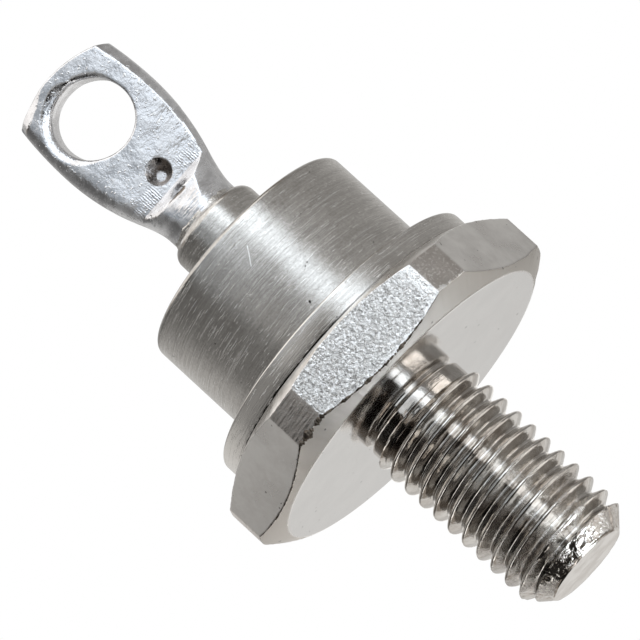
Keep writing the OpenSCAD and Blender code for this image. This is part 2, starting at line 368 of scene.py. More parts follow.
def threadFinish(s):
    finish, tree, shader = startFinish("threadNickel")
    spot = position(tree)
    cloud = noiseAt(tree, spot, 0.8, 4.0, 0.6)
    wave = noiseAt(tree, spot, 3.0, 2.0)
    chip = noiseAt(tree, spot, 13.0, 2.0, 0.6)
    endZ = nodeBox("stud_base")[0].z
    height = tree.nodes.new("ShaderNodeSeparateXYZ")
    feed(tree, height.inputs[0], spot)
    worn = band(tree, height.outputs["Z"], -5.0, -10.0, 0.08, 1.0)
    worn = calc(tree, "MULTIPLY", worn, band(tree, noiseAt(tree, spot, 0.9, 1.0), 0.42, 0.6))
    feed(tree, shader.inputs["Base Color"], tint(tree, band(tree, cloud, 0.35, 0.65), s["dark"], s["light"]))
    feed(tree, shader.inputs["Roughness"], band(tree, cloud, 0.3, 0.7, *s["rough"]))
    turned = band(tree, height.outputs["Z"], endZ + 0.02, endZ + 0.15)    # the end face stays smooth
    lines = noiseAt(tree, lathePosition(tree, spot, 1.5, 8.0), 1.0, 2.0, 0.6)
    cut = calc(tree, "MULTIPLY", turned, band(tree, height.outputs["Z"], -0.25, -0.35))
    normal = bumped(tree, calc(tree, "MULTIPLY", wave, cut), 0.012)
    normal = bumped(tree, calc(tree, "MULTIPLY", lines, cut), 0.006, normal)
    worn = calc(tree, "MULTIPLY", worn, turned)
    normal = bumped(tree, calc(tree, "MULTIPLY", chip, worn), 0.06, normal)
    torn = calc(tree, "MULTIPLY", band(tree, height.outputs["Z"], endZ + 1.2, endZ + 0.7), turned)
    normal = bumped(tree, calc(tree, "MULTIPLY", noiseAt(tree, spot, 3.4, 3.0, 0.55), torn), 0.075, normal)
    feed(tree, shader.inputs["Normal"], normal)
    return finish


stampedSettings = dict(
    dark=(0.72, 0.72, 0.735),
    light=(0.91, 0.915, 0.935),
    rough=(0.14, 0.32),
    teeth=2.6,         # marks of the clamp, about eight to the millimetre
)


def stampedFinish(s):
    finish, tree, shader = startFinish("stampedTin")
    spot = position(tree)
    mark = attributeAt(tree, "mark")
    pressed = attributeAt(tree, "serration")
    scuffed = attributeAt(tree, "scuff")
    wavy = noiseAt(tree, spot, 0.7, 1.0, 0.5)
    dapple = noiseAt(tree, spot, 1.8, 3.0, 0.6)
    grain = noiseAt(tree, spot, 6.0, 2.0, 0.6)
    teeth = tree.nodes.new("ShaderNodeTexWave")
    teeth.bands_direction = "X"
    feed(tree, teeth.inputs["Vector"], spot)
    teeth.inputs["Scale"].default_value = s["teeth"]
    teeth.inputs["Distortion"].default_value = 3.0
    teeth.inputs["Detail Scale"].default_value = 3.0
    rows = noiseAt(tree, vectorCalc(tree, "MULTIPLY", spot, (2.0, 2.0, 9.0)), 1.0, 1.0)
    colour = tint(tree, band(tree, dapple, 0.35, 0.65), s["dark"], s["light"])
    # painted glints: near-white sparkles, also bumped
    glintSparkle = band(tree, noiseAt(tree, spot, 5.0, 1.0), 0.64, 0.72)
    colour = tint(tree, calc(tree, "MULTIPLY", glintSparkle, 0.7), colour, (0.99, 0.99, 0.99))
    # painted shade in the dimple and in the slit under the ledge, from the mark attribute
    colour = tint(tree, mark, colour, (0.2, 0.168, 0.142))
    feed(tree, shader.inputs["Base Color"], colour)
    feed(tree, shader.inputs["Roughness"], band(tree, dapple, 0.3, 0.7, *s["rough"]))
    place = tree.nodes.new("ShaderNodeSeparateXYZ")
    feed(tree, place.inputs[0], spot)
    blade = band(tree, place.outputs["Z"], 14.4, 15.2, 0.2, 1.0)    # the tube is smoother
    normal = bumped(tree, calc(tree, "MULTIPLY", wavy, blade), 0.06)
    normal = bumped(tree, calc(tree, "MULTIPLY", dapple, blade), 0.03, normal)
    normal = bumped(tree, calc(tree, "MULTIPLY", grain, blade), 0.014, normal)
    normal = bumped(tree, calc(tree, "MULTIPLY", glintSparkle, blade), 0.012, normal)
    broken = calc(tree, "MULTIPLY", pressed, band(tree, dapple, 0.35, 0.6))
    normal = bumped(tree, calc(tree, "MULTIPLY", teeth.outputs["Fac"], broken), 0.013, normal)
    normal = bumped(tree, calc(tree, "MULTIPLY", rows, scuffed), 0.055, normal)
    feed(tree, shader.inputs["Normal"], normal)
    return finish


def mottledFinish(name, dark, light, roughness, scale, depth, metallic=1.0):
    finish, tree, shader = startFinish(name, metallic)
    spot = position(tree)
    cloud = noiseAt(tree, spot, scale, 4.0, 0.6)
    feed(tree, shader.inputs["Base Color"], tint(tree, band(tree, cloud, 0.35, 0.65), dark, light))
    feed(tree, shader.inputs["Roughness"], band(tree, cloud, 0.3, 0.7, *roughness))
    feed(tree, shader.inputs["Normal"], bumped(tree, cloud, depth))
    return finish


turned = turnedFinish(turnedSettings)
ground = groundFinish(groundSettings)
thread = threadFinish(threadSettings)
stamped = stampedFinish(stampedSettings)
solder = mottledFinish("solderAlloy", (0.55, 0.53, 0.5), (0.86, 0.84, 0.8), (0.12, 0.3), 4.0, 0.04)
glass = mottledFinish("sealGlass", (0.03, 0.045, 0.05), (0.06, 0.085, 0.09), (0.05, 0.12), 1.5, 0.004, 0.0)
silicon = mottledFinish("siliconGrey", (0.16, 0.17, 0.2), (0.24, 0.25, 0.28), (0.12, 0.2), 3.0, 0.002)
copper = mottledFinish("leadCopper", (0.62, 0.3, 0.18), (0.78, 0.42, 0.28), (0.2, 0.35), 2.5, 0.006)
# the burr's near-black colour is painted shade in its crevice
burrMetal = mottledFinish("burrMetal", (0.05, 0.042, 0.035), (0.2, 0.17, 0.14), (0.35, 0.6), 4.0, 0.04)
for node, finish in (("lower_solder", solder), ("upper_solder", solder), ("silicon_chip", silicon),
                     ("inner_lead", copper)):
    bpy.data.objects[node].data.materials.clear()
    bpy.data.objects[node].data.materials.append(finish)
print("finishes made")

studSettings = dict(
    pitch=0.9071,      # 28 turns to the inch
    crestAt=-2.233,    # height of one crest in the plane y = 0
    depth=0.53,
    crestFlat=0.12,
    flank=30,          # half the angle of the groove
    crestRound=0.1,
    rootRound=0.14,
    coreR=2.4,         # hidden inside the neck
    runOut=(-0.45, -1.0),      # the first crest rises from the neck here
    tipR=2.16,
    steps=144,
    points=24,         # along the section of one turn
    sunk=0.4,          # how far the neck runs up into the hexagon
    rimScale=0.98,
)


def threadRadius(phase, crestR, s):
    # radius of the section at this part of a turn, 0 at the middle of a crest
    along = abs((phase + 0.5) % 1.0 - 0.5) * s["pitch"]
    flank = crestR - (along - s["crestFlat"] / 2) / math.tan(math.radians(s["flank"]))
    return -softMin(-softMin(crestR, flank, s["crestRound"]), s["depth"] - crestR, s["rootRound"])


def makeStud(s):
    crestR = mounts["stud"]["dims"]["r_mm"]
    endZ = nodeBox("stud_base")[0].z
    mesh = bmesh.new()
    turns = math.ceil((s["sunk"] - endZ) / s["pitch"]) + 3
    bottom = endZ - 1.5 * s["pitch"]
    chain = []
    for i in range(turns * s["points"] + 1):
        z = bottom + i * s["pitch"] / s["points"]
        chain.append(mesh.verts.new((threadRadius((z - s["crestAt"]) / s["pitch"], crestR, s), 0, z)))
    edges = [mesh.edges.new(pair) for pair in zip(chain, chain[1:])]
    bmesh.ops.spin(mesh, geom=chain + edges, cent=(0, 0, 0), axis=(0, 0, 1), angle=2 * math.pi,
                   dvec=(0, 0, s["pitch"] / s["steps"]), steps=s["steps"])
    bmesh.ops.remove_doubles(mesh, verts=mesh.verts, dist=1e-4)
    for v in mesh.verts:
        r = math.hypot(v.co.x, v.co.y)
        chips = smoothStep(-8.5, -10.6, v.co.z)
        dent = chips * 0.1 * max(0, rough(*v.co, 1.7))
        dent += 0.012 * rough(*v.co, 2.6) * smoothStep(-0.6, -1.5, v.co.z)
        limit = max(0.5, s["tipR"] + v.co.z - endZ - 0.1 * chips * max(0, rough(*v.co, 2.2)))
        crest = mixed(s["coreR"], crestR, smoothStep(*s["runOut"], v.co.z))
        scale = min(min(r, crest) - dent, limit) / r
        v.co.x *= scale
        v.co.y *= scale
    for height, up in ((endZ, -1), (s["sunk"], 1)):
        cut = bmesh.ops.bisect_plane(mesh, geom=mesh.verts[:] + mesh.edges[:] + mesh.faces[:], dist=1e-6,
                                     plane_co=(0, 0, height), plane_no=(0, 0, up), clear_outer=True)
        rim = [e for e in cut["geom_cut"] if isinstance(e, bmesh.types.BMEdge)]
        cap = bmesh.ops.edgeloop_fill(mesh, edges=rim)["faces"]
        for _ in range(2):      # two close rings keep the rim crisp
            cap = bmesh.ops.extrude_discrete_faces(mesh, faces=cap)["faces"]
            bmesh.ops.scale(mesh, vec=(s["rimScale"], s["rimScale"], 1), verts=[v for f in cap for v in f.verts])
    makePiece(mesh, "threadedStud", thread, "stud_base", 75)


makeStud(studSettings)

neckSettings = dict(
    grooveR=2.54,      # relief cut under the seat
    grooveEnd=-0.12,
    bandR=2.83,        # plain band above the thread
    bandTop=-0.25,
    bandEnd=-1.12,
    edge=0.05,
    sunk=0.4,
    steps=288,
)


def makeNeck(s):
    mesh = spunMesh([
        (0, s["sunk"]), (s["grooveR"], s["sunk"]), (s["grooveR"], s["grooveEnd"]), (s["bandR"], s["bandTop"]),
        (s["bandR"], s["bandEnd"]), (s["grooveR"], s["bandEnd"] - 0.1), (0, s["bandEnd"] - 0.1),
    ], s["steps"])
    roundRing(mesh, s["bandR"], s["bandTop"], s["edge"], 3)
    roundRing(mesh, s["grooveR"], s["grooveEnd"], s["edge"], 3)
    makePiece(mesh, "studNeck", thread, "stud_base", 50)


makeNeck(neckSettings)

hexSettings = dict(
    flatR=8.5,
    cornerR=9.341,
    faceR=8.14,
    chamfer=30,
    turn=14,           # first corner, in degrees from X
    edge=0.06,
    seatRound=0.1,     # soft edge between seat and chamfer
    support=0.08,      # narrow rows beside the edges
    steps=720,
    front=-76,         # normal of the flat that faces the camera
)


def hexEdge(angle, s):
    # reach of the side and drop of the chamfer in this direction
    off = (angle - s["turn"]) % 60 - 30
    side = min(s["flatR"] / math.cos(math.radians(off)), s["cornerR"])
    return side, (side - s["faceR"]) * math.tan(math.radians(s["chamfer"])), off


def makeHexagon(s):
    top = nodeBox("can_shell")[0].z
    mesh = spunMesh([(0, 0)] + [(10, level) for level in range(1, 8)] + [(0, 8)], s["steps"])
    for v in mesh.verts:
        level = round(v.co.z)
        angle = math.atan2(v.co.y, v.co.x)
        side, drop, off = hexEdge(math.degrees(angle), s)
        rows = [(0, 0), (s["faceR"] - 0.35, 0), (s["faceR"], 0), (side, drop), (side, drop + s["support"]),
                (side, top - drop - s["support"]), (side, top - drop), (s["faceR"], top), (0, top)]
        r, z = rows[level]
        if 3 <= level <= 6:
            spot = (v.co.x, v.co.y, level // 5)
            z += 0.03 * rough(*spot, 1.1) + 0.02 * rough(*spot, 4)
        v.co = (r * math.cos(angle), r * math.sin(angle), z)
    mesh.normal_update()
    roundRing(mesh, s["faceR"], 0, s["seatRound"], 3)
    mesh.normal_update()
    sharp = [e for e in mesh.edges if e.is_manifold and e.calc_face_angle() > math.radians(12)]
    bmesh.ops.bevel(mesh, geom=sharp, offset=s["edge"] / 2, offset_type="OFFSET", segments=2, profile=0.5,
                    affect="EDGES", material=-1)
    mesh.faces.ensure_lookup_table()
    layers = {name: mesh.faces.layers.float.new(name) for name in ("front", "land", "seat", "bevel", "rim")}
    lowLayer = mesh.verts.layers.float.new("low")   # 1 along the lower edge of the sides, 0 along the upper
    mesh.normal_update()
    for v in mesh.verts:
        drop = hexEdge(math.degrees(math.atan2(v.co.y, v.co.x)), s)[1]
        v[lowLayer] = 1 - (v.co.z - drop) / (top - 2 * drop)
    for face in mesh.faces:
        place = face.calc_center_median()
        angle = math.degrees(math.atan2(place.y, place.x))
        off = abs((angle - s["turn"]) % 60 - 30)
        upright = 1.0 if abs(face.normal.z) < 0.3 else 0.0
        aside = (angle - s["front"] + 180) % 360 - 180
        land = smoothStep(23.4, 25.2, off)
        seat = smoothStep(0.93, 0.995, -face.normal.z)
        face[layers["front"]] = upright * (1 - land) if abs(aside) < 30 else 0.0
        # rim holds a painted highlight along the right edge of the front flat
        face[layers["rim"]] = smoothStep(19.8, 23.2, aside) if aside < 30 else 0.0
        face[layers["land"]] = upright * land
        face[layers["seat"]] = seat
        face[layers["bevel"]] = 1 - seat if face.normal.z < -0.4 else 0.0
    makePiece(mesh, "hexBase", ground, "stud_base", 40)


makeHexagon(hexSettings)

burrSettings = dict(
    start=-172,        # along the lower edge, in degrees from X
    end=-48,
    steps=620,
    thick=(0.03, 0.065),       # left flat, front flat
    corner=-106,       # heaviest on this corner
    cornerThick=0.15,
)


def makeBurr(s, h):
    # torn metal left along the lower edge where the flats were milled, coloured near black as painted shade
    mesh = spunMesh([(10 + math.cos(a), math.sin(a)) for a in (k * math.pi / 4 for k in range(8))],
                    s["steps"], s["end"] - s["start"])
    ends = [e for e in mesh.edges if e.is_boundary]
    bmesh.ops.holes_fill(mesh, edges=ends)
    for v in mesh.verts:
        r = math.hypot(v.co.x, v.co.y) - 10
        angle = math.degrees(math.atan2(v.co.y, v.co.x)) % 360 + s["start"]
        side, drop, off = hexEdge(angle, h)
        away = abs(angle - s["corner"])
        plain = s["thick"][angle > s["corner"]]
        heavy = mixed(s["cornerThick"], plain, smoothStep(3, 9, away))
        fade = smoothStep(s["start"], s["start"] + 25, angle) * smoothStep(s["end"], s["end"] - 20, angle)
        torn = 0.7 + 1.1 * rough(angle * 0.35, 0, 0, 1) + 0.7 * rough(angle * 1.6, 3, 0, 1)
        size = heavy * fade * max(0.12, torn)
        out = side + r * size - 0.35 * heavy
        z = drop + v.co.z * size * 1.2 + 0.03 * rough(angle * 0.8, 7, 0, 1)
        v.co = (out * math.cos(math.radians(angle)), out * math.sin(math.radians(angle)), z)
    makePiece(mesh, "edgeBurr", burrMetal, "stud_base", 60)


makeBurr(burrSettings, hexSettings)

canSettings = dict(
    flangeTop=4.51,
    canR=6.04,
    boreR=5.24,
    holeR=4.2,
    topRound=0.3,
    flangeRound=0.12,
    footGap=0.12,
    steps=360,
)


def makeCan(s):
    low, high = nodeBox("can_shell")
    roof = nodeBox("glass_seal")[0].z
    mesh = spunMesh([
        (s["boreR"], low.z), (high.x, low.z), (high.x, s["flangeTop"]), (s["canR"], s["flangeTop"]),
        (s["canR"], high.z), (s["holeR"], high.z), (s["holeR"], roof), (s["boreR"], roof),
    ], s["steps"])
    roundRing(mesh, s["canR"], high.z, s["topRound"], 6)
    roundRing(mesh, high.x, s["flangeTop"], s["flangeRound"])
    roundRing(mesh, high.x, low.z, s["footGap"])
    roundRing(mesh, s["holeR"], high.z, 0.08, 2)
    makePiece(mesh, "canShell", turned, "can_shell")


makeCan(canSettings)

collarSettings = dict(
    bore=2.0,
    top=13.1,
    rimRound=0.55,
    steps=180,
)


def makeCollar(s):
    low, high = nodeBox("seal_tube")
    mesh = spunMesh([(s["bore"], low.z), (high.x, low.z), (high.x, s["top"]), (s["bore"], s["top"])], s["steps"])
    roundRing(mesh, high.x, s["top"], s["rimRound"], 8)
    makePiece(mesh, "sealCollar", turned, "seal_tube")


makeCollar(collarSettings)

sealSettings = dict(
    sag=0.16,          # how far the glass dips between collar and can
    rings=14,
    steps=180,
)


def makeSeal(s):
    low, high = nodeBox("glass_seal")
    inner = nodeBox("seal_tube")[1].x
    top = []
    for i in range(s["rings"] + 1):
        t = i / s["rings"]
        top.append((mixed(high.x, inner, t), high.z + 0.1 - s["sag"] * math.sin(math.pi * t) ** 0.6))
    mesh = spunMesh([(inner, low.z), (high.x, low.z)] + top, s["steps"])
    makePiece(mesh, "glassSeal", glass, "glass_seal")


makeSeal(sealSettings)

solderSettings = dict(
    inner=1.85,
    tall=0.24,
    steps=220,
)


def makeSolder(s):
    # lumpy fillet between the terminal and the collar's rim
    low, high = nodeBox("terminal_solder")
    foot = collarSettings["top"]
    outer = high.x
    mesh = spunMesh([
        (s["inner"], foot - 0.3), (outer - 0.3, foot - 0.3), (outer - 0.2, foot - 0.02),
        (outer - 0.25, foot + 0.06), (s["inner"] + 0.12, foot + 0.14), (s["inner"] + 0.08, foot + s["tall"]),
        (s["inner"], foot + s["tall"]),
    ], s["steps"])
    for v in mesh.verts:
        if v.co.z > foot - 0.1:
            lump = 0.08 * rough(*v.co, 1.4) + 0.03 * rough(*v.co, 4)
            r = math.hypot(v.co.x, v.co.y)
            v.co.x *= 1 + lump * 0.6 / r
            v.co.y *= 1 + lump * 0.6 / r
            v.co.z += lump
    makePiece(mesh, "solderRing", solder, "terminal_solder", 70)


makeSolder(solderSettings)

lugSettings = dict(
    wide=(3.13, 3.17),         # left and right half width
    wideZ=19.7,                # where the blade is widest
    upperBow=20.0,
    swellZ=(14.5, 14.2),       # where the tube starts to widen, left and right
    flare=0.42,                # blend of the tube into the blade's sides
    half=0.8,                  # half the blade's thickness
    lean=0.05,                 # the face falls away towards its right edge
    twist=0.014,               # and more so near the foot than near the end
    crownR=6.68,
    crownX=-0.51,              # the end is a little askew
    crownTop=23.33,
    splitZ=17.7,               # the eye's ring of faces ends here
    footZ=12.9,
    eyeShift=(-0.09, -0.02),
    eyeGrow=0.05,
    eyeStretch=0.09,           # the eye is drawn out towards the upper left
    eyeStretchAt=140,
    eyeBevel=0.45,             # worn slope on the eye's upper left
    eyeBevelSlope=0.58,
    eyeBevelAt=140,
    eyeBevelFrom=2.0,          # its circle is centred this far beyond the eye
    eyeRound=(0.14, 0.36),
    endRound=0.1,
    endBevel=0.45,             # widest at the left corner
    endBevelSlope=0.7,
    shoulderZ=15.3,
    ledgeZ=14.68,
    ledgeHalf=1.6,
    facetSlope=0.24,
    slit=(-0.9, 0.7),
    slitDeep=0.07,
    slitTall=0.16,
    crease=((-1.54, 15.1), (-1.74, 14.7)),     # short fold beside the left shoulder
    sideDepth=(1.5, 1.72),     # left and right half depth of the folded sides
    softness=(0.34, 0.03),     # left and right blend of the side into the face
    dimple=(0.2, 16.25),
    dimpleR=0.67,
    dimpleFloor=(0.07, 16.15),
    dimpleFloorR=0.24,
    dimpleDepth=0.5,
    rays=288,
    rings=24,
    rows=96,
)


def lugHalfWidth(z, x, tubeR, s):
    wide, swellZ = s["wide"][x > 0], s["swellZ"][x > 0]
    if z > s["wideZ"]:
        return wide - (z - s["wideZ"]) ** 2 / (2 * s["upperBow"])
    out = wide - tubeR
    bowR = ((s["wideZ"] - swellZ) ** 2 + out ** 2) / (2 * out)
    bow = wide - bowR + math.sqrt(max(0, bowR ** 2 - (z - s["wideZ"]) ** 2))
    return -softMin(-tubeR, -bow, s["flare"])


def edgeDrop(away, size):
    # fall of a rounded edge at this distance from it
    if away >= size:
        return 0
    return size - math.sqrt(max(0, size ** 2 - (size - max(0, away)) ** 2))


def reachOf(point, first, last):
    # distance of a point from a straight mark
    point, first, last = Vector(point), Vector(first), Vector(last)
    t = (point - first).dot(last - first) / (last - first).length_squared
    return (point - first.lerp(last, min(1, max(0, t)))).length


def makeLug(s):
    tubeR = nodeBox("terminal_lug")[1].y
    eyeX = s["eyeShift"][0]
    eyeZ = mounts["terminal_eye"]["pos_m"][2] / mm + s["eyeShift"][1]
    eyeR = mounts["terminal_eye"]["dims"]["r_mm"]
    crownZ = s["crownTop"] - s["crownR"]

    def inside(x, z):
        inCrown = math.hypot(x - s["crownX"], z - crownZ) <= s["crownR"]
        return z >= s["splitZ"] and abs(x) <= lugHalfWidth(z, x, tubeR, s) and inCrown

    def eyeEdge(angle):
        return eyeR + s["eyeGrow"] + s["eyeStretch"] * math.cos(2 * (angle - math.radians(s["eyeStretchAt"])))

    def rim(way):
        near, far = eyeR, 6.0
        for _ in range(40):
            middle = (near + far) / 2
            if inside(eyeX + way.x * middle, eyeZ + way.y * middle):
                near = middle
            else:
                far = middle
        return near

    def thickness(x, z, front):
        w = lugHalfWidth(z, x, tubeR, s)
        right = smoothStep(-0.6, 0.6, x)
        flat = smoothStep(s["ledgeZ"] - 0.5, s["shoulderZ"] + 0.5, z)
        depth = mixed(tubeR, mixed(*s["sideDepth"], right), flat)
        side = depth * math.sqrt(max(0, 1 - (x / w) ** 2))
        slope = (s["ledgeHalf"] - s["half"]) / (s["shoulderZ"] - s["ledgeZ"])
        face = s["half"] + max(0, s["shoulderZ"] - z) * slope
        if z < s["ledgeZ"]:
            face = s["ledgeHalf"] + (s["ledgeZ"] - z) * s["facetSlope"]
        face -= s["lean"] * (max(0, x) / 2.5) ** 2 + s["twist"] * x * min(3.5, s["wideZ"] - z)
        nicked = 0.06 * right * max(0, rough(x, 0, z, 1.9)) * smoothStep(s["shoulderZ"], 17.0, z)
        h = softMin(side, face, mixed(*s["softness"], right) + nicked)
        angle = math.atan2(z - eyeZ, x - eyeX)
        away = math.hypot(x - eyeX, z - eyeZ) - eyeEdge(angle)
        lie = math.degrees(angle) % 360
        worn = smoothStep(62, 97, lie) * smoothStep(250, 165, lie)
        soft = (1 - worn) * smoothStep(0.1, 0.7, math.sin(angle))
        h -= edgeDrop(away, mixed(*s["eyeRound"], soft))
        fromEnd = s["crownR"] - math.hypot(x - s["crownX"], z - crownZ)
        h -= edgeDrop(fromEnd, s["endRound"])
        if front:
            way, far = math.radians(s["eyeBevelAt"]), s["eyeBevelFrom"]
            beyond = math.hypot(x - eyeX + far * math.cos(way), z - eyeZ + far * math.sin(way))
            edge = eyeEdge(angle)
            atEdge = math.sqrt(edge ** 2 + far ** 2 + 2 * edge * far * math.cos(angle - way))
            h -= s["eyeBevelSlope"] * max(0, s["eyeBevel"] * worn + atEdge - beyond)
            h -= s["endBevelSlope"] * max(0, s["endBevel"] * smoothStep(-0.2, -2.0, x) - fromEnd)
            across = math.hypot(x - s["dimple"][0], z - s["dimple"][1])
            inner = math.hypot(x - s["dimpleFloor"][0], z - s["dimpleFloor"][1]) - s["dimpleFloorR"]
            wall = (s["dimpleR"] - across) / max(1e-6, s["dimpleR"] - across + max(0, inner))
            h -= s["dimpleDepth"] * max(0, wall)
            first, last = s["slit"]
            gap = smoothStep(first, first + 1.4, x) * smoothStep(last, last - 0.15, x)
            if z < s["ledgeZ"]:
                h -= s["slitDeep"] * gap * max(0, 1 - (s["ledgeZ"] - z) / s["slitTall"])
            h -= 0.08 * math.exp(-(reachOf((x, z), *s["crease"]) / 0.035) ** 2)
        return max(h, 0.04)

    mesh = bmesh.new()
    shadeMarkLayer = mesh.verts.layers.float.new("mark")
    teethLayer = mesh.verts.layers.float.new("serration")
    scuffLayer = mesh.verts.layers.float.new("scuff")
    bmesh.ops.create_circle(mesh, cap_ends=False, segments=s["rays"], radius=eyeR,
                            matrix=Matrix.Translation((eyeX, 0, eyeZ)) @ Matrix.Rotation(math.pi / 2, 4, "X"))
    inmost = mesh.verts[:]
    out = bmesh.ops.extrude_edge_only(mesh, edges=mesh.edges[:])
    outer = [g for g in out["geom"] if isinstance(g, bmesh.types.BMVert)]
    for v in inmost + outer:
        way = Vector((v.co.x - eyeX, v.co.z - eyeZ)).normalized()
        far = eyeEdge(math.atan2(way.y, way.x)) if v in inmost else rim(way)
        v.co = (eyeX + way.x * far, 0, eyeZ + way.y * far)
    lowHalf = [lugHalfWidth(s["splitZ"], x, tubeR, s) for x in (-1, 1)]
    for corner in (-lowHalf[0], lowHalf[1]):
        nearest = min(outer, key=lambda v: math.hypot(v.co.x - corner, v.co.z - s["splitZ"]))
        nearest.co = (corner, 0, s["splitZ"])
    outer = set(outer)
    spokes = [e for e in mesh.edges if (e.verts[0] in outer) != (e.verts[1] in outer)]
    bmesh.ops.subdivide_edges(mesh, edges=spokes, cuts=s["rings"] - 1, use_grid_fill=True)
    base = [e for e in mesh.edges if e.is_boundary and all(abs(v.co.z - s["splitZ"]) < 1e-4 for v in e.verts)]
    out = bmesh.ops.extrude_edge_only(mesh, edges=base)
    foot = {g for g in out["geom"] if isinstance(g, bmesh.types.BMVert)}
    for v in foot:
        v.co.z = s["footZ"]
    ribs = [e for e in mesh.edges if (e.verts[0] in foot) != (e.verts[1] in foot)]
    bmesh.ops.subdivide_edges(mesh, edges=ribs, cuts=s["rows"] - 1, use_grid_fill=True)
    for v in mesh.verts:
        if v.co.z < s["splitZ"] - 1e-4:
            v.co.x *= lugHalfWidth(v.co.z, v.co.x, tubeR, s) / lowHalf[v.co.x > 0]
        else:   # gather the rings towards the eye and the outline
            way = Vector((v.co.x - eyeX, v.co.z - eyeZ))
            far = rim(way.normalized())
            near = eyeEdge(math.atan2(way.y, way.x))
            t = (way.length - near) / max(far - near, 1e-6)
            if 0.001 < t < 0.999:
                t -= 0.8 * math.sin(2 * math.pi * t) / (2 * math.pi)
                way = way.normalized() * (near + t * (far - near))
                v.co = (eyeX + way.x, 0, eyeZ + way.y)
    for v in mesh.verts:    # lay the nearest points on the dimple's two circles
        for centre, r in ((s["dimple"], s["dimpleR"]), (s["dimpleFloor"], s["dimpleFloorR"])):
            way = Vector((v.co.x - centre[0], v.co.z - centre[1]))
            if abs(way.length - r) < 0.03:
                way = way.normalized() * r
                v.co.x, v.co.z = centre[0] + way.x, centre[1] + way.y
    out = bmesh.ops.extrude_face_region(mesh, geom=mesh.faces[:], use_keep_orig=True)
    fronts = {g for g in out["geom"] if isinstance(g, bmesh.types.BMVert)}
    for v in mesh.verts:
        front = v in fronts
        x, z = v.co.x, v.co.z
        h = thickness(x, z, front)
        v.co.y = -h if front else h
        if front:
            across = math.hypot(x - s["dimple"][0], z - s["dimple"][1])
            inner = math.hypot(x - s["dimpleFloor"][0], z - s["dimpleFloor"][1])
            # painted shade in the dimple, lighter on its upper wall, and in the slit under the ledge
            dimpleShade = smoothStep(s["dimpleR"] + 0.02, s["dimpleR"] - 0.03, across)
            dimpleShade *= smoothStep(s["dimpleFloorR"] - 0.02, s["dimpleFloorR"] + 0.04, inner)
            lit = smoothStep(-0.1, 0.5, z - s["dimple"][1] - 0.6 * (x - s["dimple"][0]))   # painted light on the dimple's upper wall
            first, last = s["slit"]
            tall = s["slitTall"] * smoothStep(first, last - 0.1, x) * smoothStep(last, last - 0.1, x)
            gap = smoothStep(0.02, -0.02, abs(z - s["ledgeZ"] + tall / 2) - tall / 2) * smoothStep(0.01, 0.06, tall)
            v[shadeMarkLayer] = max(dimpleShade * (1 - 0.5 * lit), gap)
            near = smoothStep(s["shoulderZ"] - 0.02, s["shoulderZ"] + 0.05, z) * smoothStep(16.3, 15.9, z)
            beside = max(smoothStep(0.95, 1.2, x), smoothStep(-0.35, -0.6, x))
            v[teethLayer] = near * beside
            v[scuffLayer] = smoothStep(14.3, 13.9, z) * smoothStep(-0.9, 0.2, x) * smoothStep(1.9, 1.4, x)
    makePiece(mesh, "terminalLug", stamped, "terminal_lug", 45)


makeLug(lugSettings)
print("pieces made")

cameraSettings = dict(
    place=(48.78, -307.99, -72.10),
    aim=(0.05, 0.0, 5.94),
    roll=-47.6,
    lens=390.5,
)


def makeCamera(s):
    data = bpy.data.cameras.new("photoCamera")
    data.lens = s["lens"]
    data.sensor_width = 36
    data.clip_start = 0.01
    data.clip_end = 20
    camera = bpy.data.objects.new("photoCamera", data)
    bpy.context.scene.collection.objects.link(camera)
    place, aim = Vector(s["place"]) * mm, Vector(s["aim"]) * mm
    turn = (aim - place).to_track_quat("-Z", "Y").to_matrix().to_4x4()
    camera.matrix_world = Matrix.Translation(place) @ turn @ Matrix.Rotation(math.radians(s["roll"]), 4, "Z")
    bpy.context.scene.camera = camera


makeCamera(cameraSettings)

